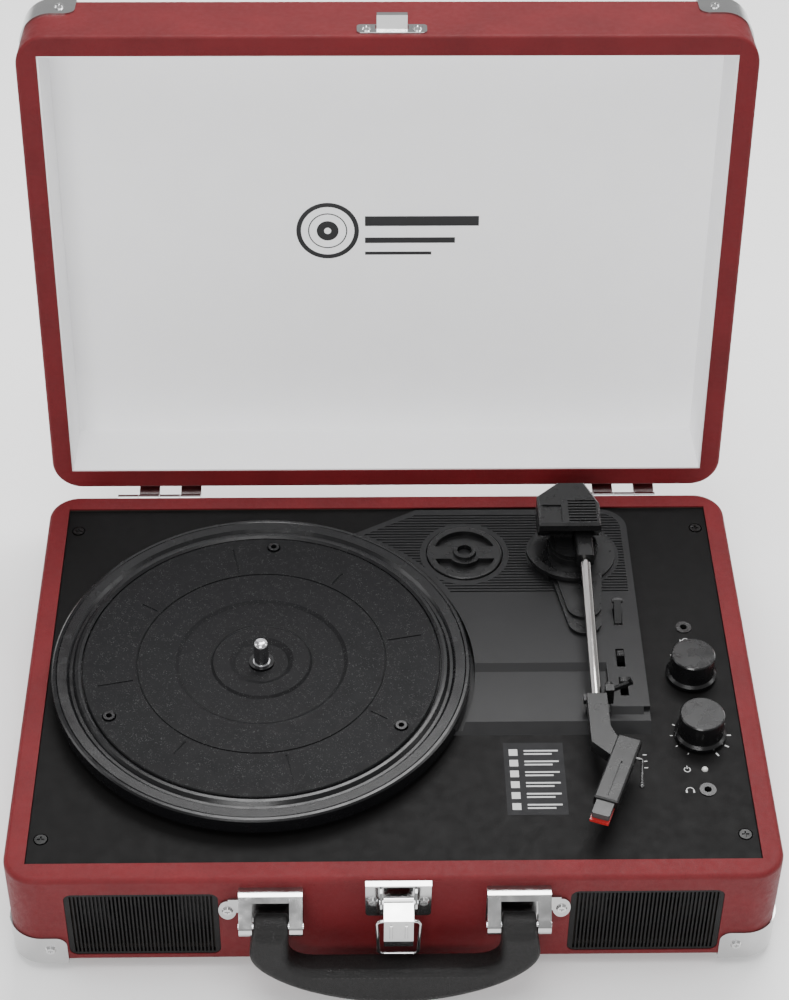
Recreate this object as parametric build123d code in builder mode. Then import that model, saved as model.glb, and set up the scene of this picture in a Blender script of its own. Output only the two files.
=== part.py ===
from build123d import *
import os
from math import cos, radians, sin

# Suitcase record player: a leatherette-covered box with a hinged lid, a belt-driven turntable, a
# tonearm and a strip of controls.
# Millimetres. Origin: the centre of the case's footprint, on the surface that the feet stand on.
# +Z up, -Y to the front with the handle and the latch, +X to the tonearm's side.

os.makedirs("parts", exist_ok=True)

# ---- driving dimensions: case ----
CASE_W = 350.0
CASE_D = 255.0
BASE_H = 57.0
LID_H = 42.0
FOOT_H = 6.0
WALL = 10.0
SKIN = 0.8
CORNER_R = 15.0
EDGE_R = 2.5
BOARD_T = 3.0
DECK_T = 3.0
DECK_DROP = 1.5
LID_GAP = 0.5
LID_LINER_DEPTH = 38.8
LINER_T = 0.8
OPEN_ANGLE = 97.0
HINGE_OFFSET = 3.6
HINGE_DROP = 6.0
HINGE_X = 119.5
HINGE_W = 43.6

# ---- driving dimensions: front furniture ----
GRILLE_W = 69.0
GRILLE_H = 43.0
GRILLE_X = 113.5
GRILLE_Z = 31.75
GRILLE_T = 2.2
GUARD_T = 0.8
GUARD_ARM = 27.0
GUARD_H = 17.0
HANDLE_X = 55.3
HANDLE_Y = -138.0
HANDLE_Z = 43.5
HANDLE_TILT = 14.0
LATCH_PIVOT_Y = -134.0
LATCH_PIVOT_Z = 54.5
BAIL_Y = -139.2
BAIL_Z = 47.8
BAIL_LENGTH = 22.8
LATCH_X = 1.6
WIRE_R = 0.75

# ---- driving dimensions: turntable ----
PLATTER_X = -62.0
PLATTER_Y = -2.0
PLATTER_R = 100.3
MAT_R = 85.7
SPINDLE_R = 3.6
SHAFT_R = 4.1
BELT_RIM_R = 45.0
PULLEY_R = 6.0
PULLEY_REACH = 64.0
PULLEY_ANGLE = -125.0
ADAPTER_X = 38.5
ADAPTER_Y = 77.0
ADAPTER_R = 19.05
PIVOT_X = 93.0
PIVOT_Y = 76.0
TILT_Z = 82.0
HEAD_ANGLE = 20.9
HEAD_LENGTH = 40.0
HEAD_W = 11.3
CONTROL_X = 145.2
LINE_IN_Y = 29.7
MODE_Y = -3.0
VOLUME_Y = -42.0
LED_Y = -63.3
PHONES_Y = -75.8
RUNNING = 0.05

# ---- levels that follow from the driving dimensions ----
RIM_Z = FOOT_H + BASE_H
DECK_Z = RIM_Z - DECK_DROP
UNDER_DECK_Z = DECK_Z - DECK_T
FRONT_Y = -CASE_D / 2
BACK_Y = CASE_D / 2
SIDE_X = CASE_W / 2
INSIDE_W = CASE_W - 2 * WALL
INSIDE_D = CASE_D - 2 * WALL
LID_Z = RIM_Z + LID_GAP
HINGE_Y = BACK_Y + HINGE_OFFSET
HINGE_Z = RIM_Z - HINGE_DROP
UPPER_Z = DECK_Z + 6.5
LOWER_Z = DECK_Z + 4.0
MAT_BOTTOM = DECK_Z + 9.5
MAT_TOP = MAT_BOTTOM + 1.9

# The lid is described closed, and this carries its planes to where the open lid stands.
OPEN = Location((0, HINGE_Y, HINGE_Z), (-OPEN_ANGLE, 0, 0)) * Location((0, -HINGE_Y, -HINGE_Z))

FRONT = Plane((0, FRONT_Y, 0), (1, 0, 0), (0, -1, 0))
BACK = Plane((0, BACK_Y, 0), (-1, 0, 0), (0, 1, 0))


def opened(plane):
    """The same plane carried round the hinge with the open lid."""
    return Plane(OPEN * plane.location)


LID_XY = opened(Plane.XY)
LID_FRONT = opened(FRONT)


def outward(x, y, z, normal):
    """A plane at a point of an outside face, facing away from the case."""
    return Plane((x, y, z), z_dir=normal)


def guard_screws(z):
    """Where the corner guards' screws stand, all round the case at one height."""
    along_x = SIDE_X - 18.5
    along_y = BACK_Y - 18.5
    planes = []
    for side in (-1, 1):
        for end in (-1, 1):
            planes.append(outward(end * along_x, side * (BACK_Y + GUARD_T), z, (0, side, 0)))
            planes.append(outward(side * (SIDE_X + GUARD_T), end * along_y, z, (side, 0, 0)))
    return planes


LATCH_SCREWS = [outward(x, FRONT_Y - GUARD_T, 48.0, (0, -1, 0)) for x in (LATCH_X - 11.4, LATCH_X + 11.4)]
BRACKET_SCREWS = [outward(x, FRONT_Y - 1.2, 43.0, (0, -1, 0)) for x in (-75.0, 75.0)]
LEAF_X = [side * HINGE_X + step for side in (-1, 1) for step in (-14.0, 14.0)]
BASE_LEAF_SCREWS = [outward(x, BACK_Y + 1.0, 44.0, (0, 1, 0)) for x in LEAF_X]
BASE_SCREWS = guard_screws(FOOT_H + 9.0) + LATCH_SCREWS + BRACKET_SCREWS + BASE_LEAF_SCREWS

CATCH_X = (LATCH_X - 12.0, LATCH_X + 12.0)
CATCH_SCREWS = [outward(x, FRONT_Y - GUARD_T, LID_Z + 7.0, (0, -1, 0)) for x in CATCH_X]
LID_LEAF_SCREWS = [outward(x, BACK_Y + 1.0, LID_Z + 15.0, (0, 1, 0)) for x in LEAF_X]
LID_SCREWS_CLOSED = guard_screws(LID_Z + LID_H - 9.0) + CATCH_SCREWS + LID_LEAF_SCREWS
LID_SCREWS = [opened(plane) for plane in LID_SCREWS_CLOSED]

DECK_SCREW_SPAN = (318.4, 204.6)
FOOT_SPAN = (276.0, 184.0)
SPINDLE = Plane((PLATTER_X, PLATTER_Y, 0))
SPINDLE_SIDE = Plane((PLATTER_X, PLATTER_Y, 0), (1, 0, 0), (0, -1, 0))
SPINDLE_AXIS = Axis((PLATTER_X, PLATTER_Y, 0), (0, 0, 1))
PULLEY_X = PULLEY_REACH * cos(radians(PULLEY_ANGLE))
PULLEY_Y = PULLEY_REACH * sin(radians(PULLEY_ANGLE))
JACK_PANEL_X = 40.0
JACK_PANEL_Z = 32.0


def case_block(plane, height, inset, lower_r, upper_r):
    """A rounded case outline, pulled in by inset, with its long edges rounded."""
    with BuildPart() as block:
        with BuildSketch(plane):
            RectangleRounded(CASE_W - 2 * inset, CASE_D - 2 * inset, CORNER_R - inset)
        extrude(amount=height)
        caps = block.faces().filter_by(Axis((0, 0, 0), plane.z_dir))
        caps = caps.sort_by(Axis((0, 0, 0), plane.z_dir))
        fillet(caps[0].edges(), lower_r)
        caps = block.faces().filter_by(Axis((0, 0, 0), plane.z_dir))
        caps = caps.sort_by(Axis((0, 0, 0), plane.z_dir))
        fillet(caps[-1].edges(), upper_r)
    return block.part


# ================= base case =================

with BuildPart() as base_frame:
    add(case_block(Plane.XY.offset(FOOT_H + SKIN), BASE_H - 2 * SKIN, SKIN, EDGE_R - SKIN, EDGE_R - SKIN))
    with BuildSketch(Plane.XY):
        Rectangle(INSIDE_W, INSIDE_D)
    extrude(amount=RIM_Z + 1, mode=Mode.SUBTRACT)
    # corner posts that the deck screws bite into
    with BuildSketch(Plane.XY.offset(FOOT_H + BOARD_T)):
        with GridLocations(INSIDE_W - 15, INSIDE_D - 22, 2, 2):
            Rectangle(15, 22)
    extrude(amount=UNDER_DECK_Z - FOOT_H - BOARD_T)
    with BuildSketch(Plane.XY.offset(UNDER_DECK_Z)):
        with GridLocations(*DECK_SCREW_SPAN, 2, 2):
            Circle(1.6)
    extrude(amount=-16, mode=Mode.SUBTRACT)
    # speaker openings with a ledge for the grilles, and the opening for the rear sockets
    with BuildSketch(FRONT):
        with Locations((-GRILLE_X, GRILLE_Z), (GRILLE_X, GRILLE_Z)):
            RectangleRounded(GRILLE_W, GRILLE_H, 4)
    extrude(amount=-GRILLE_T - 0.3, mode=Mode.SUBTRACT)
    with BuildSketch(FRONT):
        with Locations((-GRILLE_X, GRILLE_Z), (GRILLE_X, GRILLE_Z)):
            RectangleRounded(60, 34, 3)
    extrude(amount=-WALL - 1, mode=Mode.SUBTRACT)
    with BuildSketch(BACK):
        with Locations((-JACK_PANEL_X, JACK_PANEL_Z)):
            RectangleRounded(74, 24, 3)
    extrude(amount=-2, mode=Mode.SUBTRACT)
    with BuildSketch(BACK):
        with Locations((-JACK_PANEL_X, JACK_PANEL_Z)):
            Rectangle(64, 16)
    extrude(amount=-WALL - 1, mode=Mode.SUBTRACT)
    for plane in BASE_SCREWS:
        with BuildSketch(plane):
            Circle(1.3)
        extrude(amount=-9.2, mode=Mode.SUBTRACT)
base_frame.part.label = "base_frame"
export_step(base_frame.part, "parts/base_frame.step")

with BuildPart() as base_leatherette:
    add(case_block(Plane.XY.offset(FOOT_H), BASE_H, 0, EDGE_R, EDGE_R))
    add(
        case_block(Plane.XY.offset(FOOT_H + SKIN), BASE_H - 2 * SKIN, SKIN, EDGE_R - SKIN, EDGE_R - SKIN),
        mode=Mode.SUBTRACT,
    )
    with BuildSketch(Plane.XY):
        Rectangle(INSIDE_W, INSIDE_D)
    extrude(amount=RIM_Z + 1, mode=Mode.SUBTRACT)
    with BuildSketch(FRONT):
        with Locations((-GRILLE_X, GRILLE_Z), (GRILLE_X, GRILLE_Z)):
            RectangleRounded(GRILLE_W, GRILLE_H, 4)
    extrude(amount=-3, mode=Mode.SUBTRACT)
    with BuildSketch(BACK):
        with Locations((-JACK_PANEL_X, JACK_PANEL_Z)):
            RectangleRounded(74, 24, 3)
    extrude(amount=-3, mode=Mode.SUBTRACT)
    for plane in BASE_SCREWS:
        with BuildSketch(plane):
            Circle(1.3)
        extrude(amount=-4, mode=Mode.SUBTRACT)
base_leatherette.part.label = "base_leatherette"
export_step(base_leatherette.part, "parts/base_leatherette.step")

with BuildPart() as bottom_board:
    with BuildSketch(Plane.XY.offset(FOOT_H)):
        Rectangle(INSIDE_W - 0.2, INSIDE_D - 0.2)
        with GridLocations(*FOOT_SPAN, 2, 2):
            Circle(1.6, mode=Mode.SUBTRACT)
    extrude(amount=BOARD_T)
bottom_board.part.label = "bottom_board"
export_step(bottom_board.part, "parts/bottom_board.step")

with BuildPart() as rubber_feet:
    with BuildSketch():
        with GridLocations(*FOOT_SPAN, 2, 2):
            Circle(8)
    extrude(amount=FOOT_H, taper=-9)
    with BuildSketch():
        with GridLocations(*FOOT_SPAN, 2, 2):
            Circle(3.2)
    extrude(amount=2.5, mode=Mode.SUBTRACT)
    with BuildSketch():
        with GridLocations(*FOOT_SPAN, 2, 2):
            Circle(1.6)
    extrude(amount=FOOT_H, mode=Mode.SUBTRACT)
rubber_feet.part.label = "rubber_feet"
export_step(rubber_feet.part, "parts/rubber_feet.step")

with BuildPart() as foot_screws:
    with BuildSketch(Plane.XY.offset(1.2)):
        with GridLocations(*FOOT_SPAN, 2, 2):
            Circle(2.9)
    extrude(amount=1.3)
    with BuildSketch(Plane.XY.offset(2.5)):
        with GridLocations(*FOOT_SPAN, 2, 2):
            Circle(1.55)
    extrude(amount=FOOT_H + BOARD_T - 1.5)
foot_screws.part.label = "foot_screws"
export_step(foot_screws.part, "parts/foot_screws.step")

# ================= deck =================

with BuildPart() as deck_plate:
    with BuildSketch(Plane.XY.offset(UNDER_DECK_Z)):
        Rectangle(INSIDE_W - 0.4, INSIDE_D - 0.4)
        with Locations((PLATTER_X, PLATTER_Y)):
            Circle(82, mode=Mode.SUBTRACT)
        with Locations((89, 40)):
            Rectangle(56, 110, mode=Mode.SUBTRACT)
        with GridLocations(*DECK_SCREW_SPAN, 2, 2):
            Circle(1.7, mode=Mode.SUBTRACT)
        with Locations((CONTROL_X, MODE_Y), (CONTROL_X, VOLUME_Y)):
            Circle(4.6, mode=Mode.SUBTRACT)
        with Locations((CONTROL_X, LINE_IN_Y), (CONTROL_X, PHONES_Y)):
            Circle(3.95, mode=Mode.SUBTRACT)
        with Locations((CONTROL_X, LED_Y)):
            Circle(1.6, mode=Mode.SUBTRACT)
    extrude(amount=DECK_T)
    with BuildSketch(Plane.XY.offset(DECK_Z)):
        with GridLocations(*DECK_SCREW_SPAN, 2, 2):
            Circle(3.4)
    extrude(amount=-1.4, mode=Mode.SUBTRACT)
deck_plate.part.label = "deck_plate"
export_step(deck_plate.part, "parts/deck_plate.step")

with BuildPart() as deck_screws:
    with BuildSketch(Plane.XY.offset(DECK_Z - 1.4)):
        with GridLocations(*DECK_SCREW_SPAN, 2, 2):
            Circle(3.2)
    extrude(amount=1.6, taper=14)
    with BuildSketch(Plane.XY.offset(DECK_Z - 1.4)):
        with GridLocations(*DECK_SCREW_SPAN, 2, 2):
            Circle(1.5)
    extrude(amount=-15)
    with BuildSketch(Plane.XY.offset(DECK_Z + 0.2)):
        with GridLocations(*DECK_SCREW_SPAN, 2, 2):
            Rectangle(3.4, 0.7)
            Rectangle(0.7, 3.4)
    extrude(amount=-0.8, mode=Mode.SUBTRACT)
deck_screws.part.label = "deck_screws"
export_step(deck_screws.part, "parts/deck_screws.step")

# ================= speakers =================

for side, name in ((-1, "left"), (1, "right")):
    with BuildPart() as grille:
        with BuildSketch(FRONT.offset(-0.3)):
            with Locations((side * GRILLE_X, GRILLE_Z)):
                RectangleRounded(GRILLE_W - 0.3, GRILLE_H - 0.3, 3.8)
        extrude(amount=-GRILLE_T)
        with BuildSketch(FRONT):
            with Locations((side * GRILLE_X, GRILLE_Z)):
                with GridLocations(1.75, 0, 37, 1):
                    Rectangle(0.95, GRILLE_H - 3.4)
        extrude(amount=-GRILLE_T - 1, mode=Mode.SUBTRACT)
    grille.part.label = "speaker_grille_" + name
    export_step(grille.part, "parts/speaker_grille_" + name + ".step")

    mouth = Plane((side * GRILLE_X, FRONT_Y + WALL, GRILLE_Z), (1, 0, 0), (0, 1, 0))
    with BuildPart() as speaker:
        with BuildSketch(mouth):
            RectangleRounded(66, 40, 4)
        extrude(amount=1.5)
        with BuildSketch(mouth.offset(1.5)):
            Circle(18)
        extrude(amount=10, taper=24)
        with BuildSketch(mouth.offset(11.5)):
            Circle(14.5)
        extrude(amount=8)
        with BuildSketch(mouth):
            Circle(16.4)
        extrude(amount=10, taper=24, mode=Mode.SUBTRACT)
    speaker.part.label = "speaker_" + name
    export_step(speaker.part, "parts/speaker_" + name + ".step")

with BuildPart() as speaker_cones:
    for side in (-1, 1):
        mouth = Plane((side * GRILLE_X, FRONT_Y + WALL, GRILLE_Z), (1, 0, 0), (0, 1, 0))
        with BuildSketch(mouth.offset(0.6)):
            Circle(15.4)
        extrude(amount=8.6, taper=24)
        with BuildSketch(mouth.offset(0.6)):
            Circle(14.6)
        extrude(amount=7.8, taper=24, mode=Mode.SUBTRACT)
speaker_cones.part.label = "speaker_cones"
export_step(speaker_cones.part, "parts/speaker_cones.step")

# ================= metal trim =================


def corner_guards(floor_plane, wall_plane, wall_up):
    """Four pressed corner caps: two walls with rounded tabs, and a flap on the flat face."""
    with BuildSketch() as corners:
        with GridLocations(CASE_W + 2 * GUARD_T - GUARD_ARM, CASE_D + 2 * GUARD_T - GUARD_ARM, 2, 2):
            Rectangle(GUARD_ARM, GUARD_ARM)
    with BuildPart() as guards:
        with BuildSketch(wall_plane):
            RectangleRounded(CASE_W + 2 * GUARD_T, CASE_D + 2 * GUARD_T, CORNER_R + GUARD_T)
            RectangleRounded(CASE_W, CASE_D, CORNER_R, mode=Mode.SUBTRACT)
            add(corners.sketch, mode=Mode.INTERSECT)
        extrude(amount=wall_up * GUARD_H)
        along = Axis((0, 0, 0), wall_plane.z_dir)
        tabs = guards.edges().filter_by(lambda e: abs(e.length - GUARD_T) < 0.01)
        tabs = tabs.group_by(along)[-1 if wall_up > 0 else 0]
        fillet(tabs, 5)
        with BuildSketch(floor_plane):
            RectangleRounded(CASE_W + 2 * GUARD_T, CASE_D + 2 * GUARD_T, CORNER_R + GUARD_T)
            add(corners.sketch, mode=Mode.INTERSECT)
            with GridLocations(CASE_W - 2 * GUARD_ARM - 14, CASE_D - 2 * GUARD_ARM - 14, 2, 2):
                Circle(22, mode=Mode.SUBTRACT)
        extrude(amount=-wall_up * GUARD_T)
    return guards.part


with BuildPart() as base_corner_guards:
    add(corner_guards(Plane.XY.offset(FOOT_H), Plane.XY.offset(FOOT_H), 1))
    for plane in guard_screws(FOOT_H + 9.0):
        with BuildSketch(plane):
            Circle(1.3)
        extrude(amount=-1.5, mode=Mode.SUBTRACT)
base_corner_guards.part.label = "base_corner_guards"
export_step(base_corner_guards.part, "parts/base_corner_guards.step")


def trim_screws(planes):
    """Small pan-head cross-recess wood screws, one on each plane."""
    with BuildPart() as screws:
        for plane in planes:
            with BuildSketch(plane):
                Circle(2.6)
            extrude(amount=1.1, taper=30)
            with BuildSketch(plane):
                Circle(1.2)
            extrude(amount=-8)
            with BuildSketch(plane.offset(1.1)):
                Rectangle(2.4, 0.5)
                Rectangle(0.5, 2.4)
            extrude(amount=-0.6, mode=Mode.SUBTRACT)
    return screws.part


base_trim_screws = trim_screws(BASE_SCREWS)
base_trim_screws.label = "base_trim_screws"
export_step(base_trim_screws, "parts/base_trim_screws.step")

for side, name in ((-1, "left"), (1, "right")):
    with BuildPart() as bracket:
        # back plate with an ear on its outer side
        with BuildSketch(FRONT):
            with Locations((side * HANDLE_X, 46)):
                Rectangle(28.5, 23)
            with Locations((side * 75.0, 43)):
                Ellipse(4.0, 6.4)
            with Locations((side * 70.5, 46)):
                Rectangle(8, 9)
        extrude(amount=1.2)
        # hood strip, then two arms that end in barrels
        for low, high in ((-14.2, 14.2), (-14.2, -8.3), (8.3, 14.2)):
            start = side * HANDLE_X + low
            full = high - low > 20
            with BuildSketch(Plane.YZ.offset(start)):
                if full:
                    Polygon(
                        (FRONT_Y, 56.4), (FRONT_Y, 57.6), (-132.8, 57.6),
                        (-134.6, 55.2), (-133.8, 54.4), (-132.4, 56.4),
                    )
                else:
                    Polygon((-132.4, 56.4), (-132.8, 57.6), (-141.6, 46.2), (-140.4, 45.2))
            extrude(amount=high - low)
        for low, high in ((-14.2, -8.3), (8.3, 14.2)):
            with BuildSketch(Plane.YZ.offset(side * HANDLE_X + low)):
                with Locations((HANDLE_Y, HANDLE_Z)):
                    Circle(4.4)
            extrude(amount=high - low)
        with BuildSketch(Plane.YZ.offset(side * HANDLE_X - 20)):
            with Locations((HANDLE_Y, HANDLE_Z)):
                Circle(1.6)
        extrude(amount=40, mode=Mode.SUBTRACT)
        for plane in BRACKET_SCREWS:
            with BuildSketch(plane):
                Circle(1.3)
            extrude(amount=-1.5, mode=Mode.SUBTRACT)
    bracket.part.label = "handle_bracket_" + name
    export_step(bracket.part, "parts/handle_bracket_" + name + ".step")

# ---- handle: a padded U on two loops, hanging at a slight angle ----

HANG = Plane((0, HANDLE_Y, HANDLE_Z), (1, 0, 0), (0, -cos(radians(HANDLE_TILT)), sin(radians(HANDLE_TILT))))

with BuildPart() as handle:
    with BuildSketch(HANG.offset(-7.5)):
        with BuildLine():
            Line((62.9, -1), (64.9, -11))
            Bezier((64.9, -11), (66.5, -19), (52, -28), (40, -32.3))
            Bezier((40, -32.3), (28, -36.6), (14, -39.4), (0, -39.4))
            Line((0, -39.4), (0, -20.4))
            Line((0, -20.4), (34, -20.4))
            Bezier((34, -20.4), (41, -20.4), (47.6, -19), (47.6, -12))
            Line((47.6, -12), (47.6, -1))
            Line((47.6, -1), (62.9, -1))
        make_face()
        mirror(about=Plane.YZ)
    extrude(amount=15)
    long_edges = handle.faces().filter_by(Axis((0, 0, 0), HANG.z_dir)).edges()
    fillet(long_edges, 3.2)
    for side in (-1, 1):
        with BuildSketch(Plane.YZ.offset(side * HANDLE_X - 7.7)):
            with Locations((HANDLE_Y, HANDLE_Z)):
                Circle(5.8)
        extrude(amount=15.4)
        with BuildSketch(Plane.YZ.offset(side * HANDLE_X - 10)):
            with Locations((HANDLE_Y, HANDLE_Z)):
                Circle(1.6)
        extrude(amount=20, mode=Mode.SUBTRACT)
handle.part.label = "handle"
export_step(handle.part, "parts/handle.step")

# ================= latch =================

with BuildPart() as latch_plate:
    with BuildSketch(FRONT):
        with Locations((LATCH_X, 49.75)):
            RectangleRounded(29.5, 23.5, 2)
    extrude(amount=GUARD_T)
    with BuildSketch(FRONT):
        with Locations((LATCH_X, 61.1)):
            Rectangle(29.5, 0.8)
    extrude(amount=3)
    # two ears that carry the lever's pin, and a raised band beside each
    for x in (-8.3, 7.3):
        with BuildSketch(Plane.YZ.offset(LATCH_X + x)):
            Polygon((FRONT_Y, 46), (FRONT_Y, 60.5), (-132.5, 59), (-136.6, 56), (-136.6, 53), (-133, 50))
        extrude(amount=1)
    with BuildSketch(FRONT.offset(GUARD_T)):
        with Locations((LATCH_X - 7.2, 57), (LATCH_X + 7.2, 57)):
            Rectangle(4.4, 7)
    extrude(amount=0.8, taper=20)
    with BuildSketch(Plane.YZ.offset(LATCH_X - 10)):
        with Locations((LATCH_PIVOT_Y, LATCH_PIVOT_Z)):
            Circle(1.2)
    extrude(amount=20, mode=Mode.SUBTRACT)
    for plane in LATCH_SCREWS:
        with BuildSketch(plane):
            Circle(1.3)
        extrude(amount=-1.5, mode=Mode.SUBTRACT)
latch_plate.part.label = "latch_plate"
export_step(latch_plate.part, "parts/latch_plate.step")

with BuildPart() as latch_lever:
    with BuildSketch(Plane.YZ.offset(LATCH_X - 6.6)):
        with Locations((LATCH_PIVOT_Y, LATCH_PIVOT_Z)):
            Circle(2.9)
        Polygon((-135.6, 56.4), (-136.6, 54.6), (-141.0, 50.6), (-142.2, 51.4), (-137.2, 56.3))
        Polygon((-142.2, 51.4), (-141.0, 50.6), (-141.0, 37.9), (-142.2, 37.3))
        Polygon((-142.2, 37.3), (-141.0, 37.9), (-139.0, 35.6), (-140.2, 34.9))
        Polygon((-140.2, 34.9), (-139.0, 35.6), (-139.0, 31.0), (-140.2, 31.0))
        with Locations((BAIL_Y, BAIL_Z)):
            Circle(1.95)
        with Locations((BAIL_Y, BAIL_Z)):
            Circle(WIRE_R + RUNNING, mode=Mode.SUBTRACT)
        with Locations((LATCH_PIVOT_Y, LATCH_PIVOT_Z)):
            Circle(1.2 + RUNNING, mode=Mode.SUBTRACT)
    extrude(amount=13.2)
    # stiffening ribs pressed into the lever's face
    with BuildSketch(FRONT.offset(14.7)):
        with Locations((LATCH_X - 3.4, 44), (LATCH_X + 3.4, 44)):
            Rectangle(1.4, 9)
    extrude(amount=0.6, taper=20)
latch_lever.part.label = "latch_lever"
export_step(latch_lever.part, "parts/latch_lever.step")

with BuildPart() as latch_bail:
    with BuildLine(FRONT.offset(-BAIL_Y + FRONT_Y)) as bail_path:
        low = BAIL_Z - BAIL_LENGTH
        corners = [(9.8, BAIL_Z), (8.8, low), (-8.8, low), (-9.8, BAIL_Z)]
        FilletPolyline(*[(LATCH_X + x, z) for x, z in corners], radius=2.4, close=True)
    with BuildSketch(Plane(bail_path.wire() @ 0, z_dir=bail_path.wire() % 0)):
        Circle(WIRE_R)
    sweep(path=bail_path.wire())
latch_bail.part.label = "latch_bail"
export_step(latch_bail.part, "parts/latch_bail.step")

# ================= lid =================


def lid_void():
    """The lid's open inside, from its rim to the underside of its thin top board."""
    with BuildPart() as void:
        with BuildSketch(LID_XY.offset(LID_Z - 1)):
            Rectangle(INSIDE_W, INSIDE_D)
        extrude(amount=LID_LINER_DEPTH + LINER_T + 1)
    return void.part


LID_RIM_R = 1.6
lid_inside = lid_void()
lid_core = case_block(LID_XY.offset(LID_Z + SKIN), LID_H - 2 * SKIN, SKIN, LID_RIM_R - SKIN, EDGE_R - SKIN)

with BuildPart() as lid_frame:
    add(lid_core)
    add(lid_inside, mode=Mode.SUBTRACT)
    for plane in LID_SCREWS:
        with BuildSketch(plane):
            Circle(1.3)
        extrude(amount=-9.2, mode=Mode.SUBTRACT)
lid_frame.part.label = "lid_frame"
export_step(lid_frame.part, "parts/lid_frame.step")

with BuildPart() as lid_leatherette:
    add(case_block(LID_XY.offset(LID_Z), LID_H, 0, LID_RIM_R, EDGE_R))
    add(lid_core, mode=Mode.SUBTRACT)
    with BuildSketch(LID_XY.offset(LID_Z - 1)):
        Rectangle(INSIDE_W, INSIDE_D)
    extrude(amount=LID_H / 2, mode=Mode.SUBTRACT)
    for plane in LID_SCREWS:
        with BuildSketch(plane):
            Circle(1.3)
        extrude(amount=-4, mode=Mode.SUBTRACT)
lid_leatherette.part.label = "lid_leatherette"
export_step(lid_leatherette.part, "parts/lid_leatherette.step")

with BuildPart() as lid_liner:
    with BuildSketch(LID_XY.offset(LID_Z + SKIN)):
        Rectangle(INSIDE_W - 0.1, INSIDE_D - 0.1)
    extrude(amount=LID_LINER_DEPTH + LINER_T - SKIN)
    with BuildSketch(LID_XY.offset(LID_Z + SKIN)):
        Rectangle(INSIDE_W - 2 * LINER_T, INSIDE_D - 2 * LINER_T)
    extrude(amount=LID_LINER_DEPTH - SKIN, mode=Mode.SUBTRACT)
lid_liner.part.label = "lid_liner"
export_step(lid_liner.part, "parts/lid_liner.step")

with BuildPart() as lid_corner_guards:
    top = LID_XY.offset(LID_Z + LID_H)
    add(corner_guards(top, top, -1))
    for plane in LID_SCREWS[:8]:
        with BuildSketch(plane):
            Circle(1.3)
        extrude(amount=-1.5, mode=Mode.SUBTRACT)
lid_corner_guards.part.label = "lid_corner_guards"
export_step(lid_corner_guards.part, "parts/lid_corner_guards.step")

lid_trim_screws = trim_screws(LID_SCREWS)
lid_trim_screws.label = "lid_trim_screws"
export_step(lid_trim_screws, "parts/lid_trim_screws.step")

with BuildPart() as lid_catch:
    with BuildSketch(LID_FRONT):
        with Locations((LATCH_X, LID_Z + 7.0)):
            RectangleRounded(33, 9.2, 2)
        with Locations((LATCH_X, LID_Z + 8.4)):
            Rectangle(15.6, 4.2, mode=Mode.SUBTRACT)
    extrude(amount=GUARD_T)
    # the tab that the wire bail pulls down on, with a lip that keeps the wire in
    with BuildSketch(opened(Plane.YZ.offset(LATCH_X - 7.2))):
        Polygon(
            (FRONT_Y - GUARD_T / 2, LID_Z + 4.3), (FRONT_Y - GUARD_T / 2, LID_Z + 5.4), (-134.9, LID_Z + 5.4),
            (-134.9, LID_Z + 7.6), (-136.0, LID_Z + 7.6), (-136.0, LID_Z + 4.3),
        )
    extrude(amount=14.4)
    for plane in LID_SCREWS[8:10]:
        with BuildSketch(plane):
            Circle(1.3)
        extrude(amount=-1.5, mode=Mode.SUBTRACT)
lid_catch.part.label = "lid_catch"
export_step(lid_catch.part, "parts/lid_catch.step")

# ---- butt hinges: four knuckles each, two on the base leaf and two on the lid leaf ----

KNUCKLE_R = 3.0
PIN_R = 1.3
KNUCKLE = HINGE_W / 4

with BuildPart() as hinge_base_leaves:
    for centre in (-HINGE_X, HINGE_X):
        with BuildSketch(BACK):
            with Locations((-centre, 47)):
                RectangleRounded(HINGE_W, 14, 1.5)
        extrude(amount=1.0)
        for index in (0, 2):
            with BuildSketch(Plane.YZ.offset(centre - HINGE_W / 2 + index * KNUCKLE + 0.15)):
                with Locations((HINGE_Y, HINGE_Z)):
                    Circle(KNUCKLE_R)
                Polygon((BACK_Y, 53.6), (BACK_Y + 1, 53.0), (HINGE_Y + 1.6, 54.5), (HINGE_Y - 1.0, 56.6))
            extrude(amount=KNUCKLE - 0.3)
    with BuildSketch(Plane.YZ.offset(-SIDE_X)):
        with Locations((HINGE_Y, HINGE_Z)):
            Circle(PIN_R)
    extrude(amount=CASE_W, mode=Mode.SUBTRACT)
    for plane in BASE_LEAF_SCREWS:
        with BuildSketch(plane):
            Circle(1.3)
        extrude(amount=-1.5, mode=Mode.SUBTRACT)
hinge_base_leaves.part.label = "hinge_base_leaves"
export_step(hinge_base_leaves.part, "parts/hinge_base_leaves.step")

with BuildPart() as hinge_lid_leaves:
    for centre in (-HINGE_X, HINGE_X):
        with BuildSketch(opened(BACK)):
            with Locations((-centre, LID_Z + 13)):
                RectangleRounded(HINGE_W, 14, 1.5)
        extrude(amount=1.0)
        for index in (1, 3):
            with BuildSketch(opened(Plane.YZ.offset(centre - HINGE_W / 2 + index * KNUCKLE + 0.15))):
                with Locations((HINGE_Y, HINGE_Z)):
                    Circle(KNUCKLE_R)
                Polygon((BACK_Y, 71), (BACK_Y + 1, 71), (HINGE_Y + 2.6, 58.2), (HINGE_Y + 0.9, 57.6), (BACK_Y, 69))
                with Locations((HINGE_Y, HINGE_Z)):
                    Circle(PIN_R + RUNNING, mode=Mode.SUBTRACT)
            extrude(amount=KNUCKLE - 0.3)
    for plane in LID_SCREWS[10:]:
        with BuildSketch(plane):
            Circle(1.3)
        extrude(amount=-1.5, mode=Mode.SUBTRACT)
hinge_lid_leaves.part.label = "hinge_lid_leaves"
export_step(hinge_lid_leaves.part, "parts/hinge_lid_leaves.step")

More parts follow.
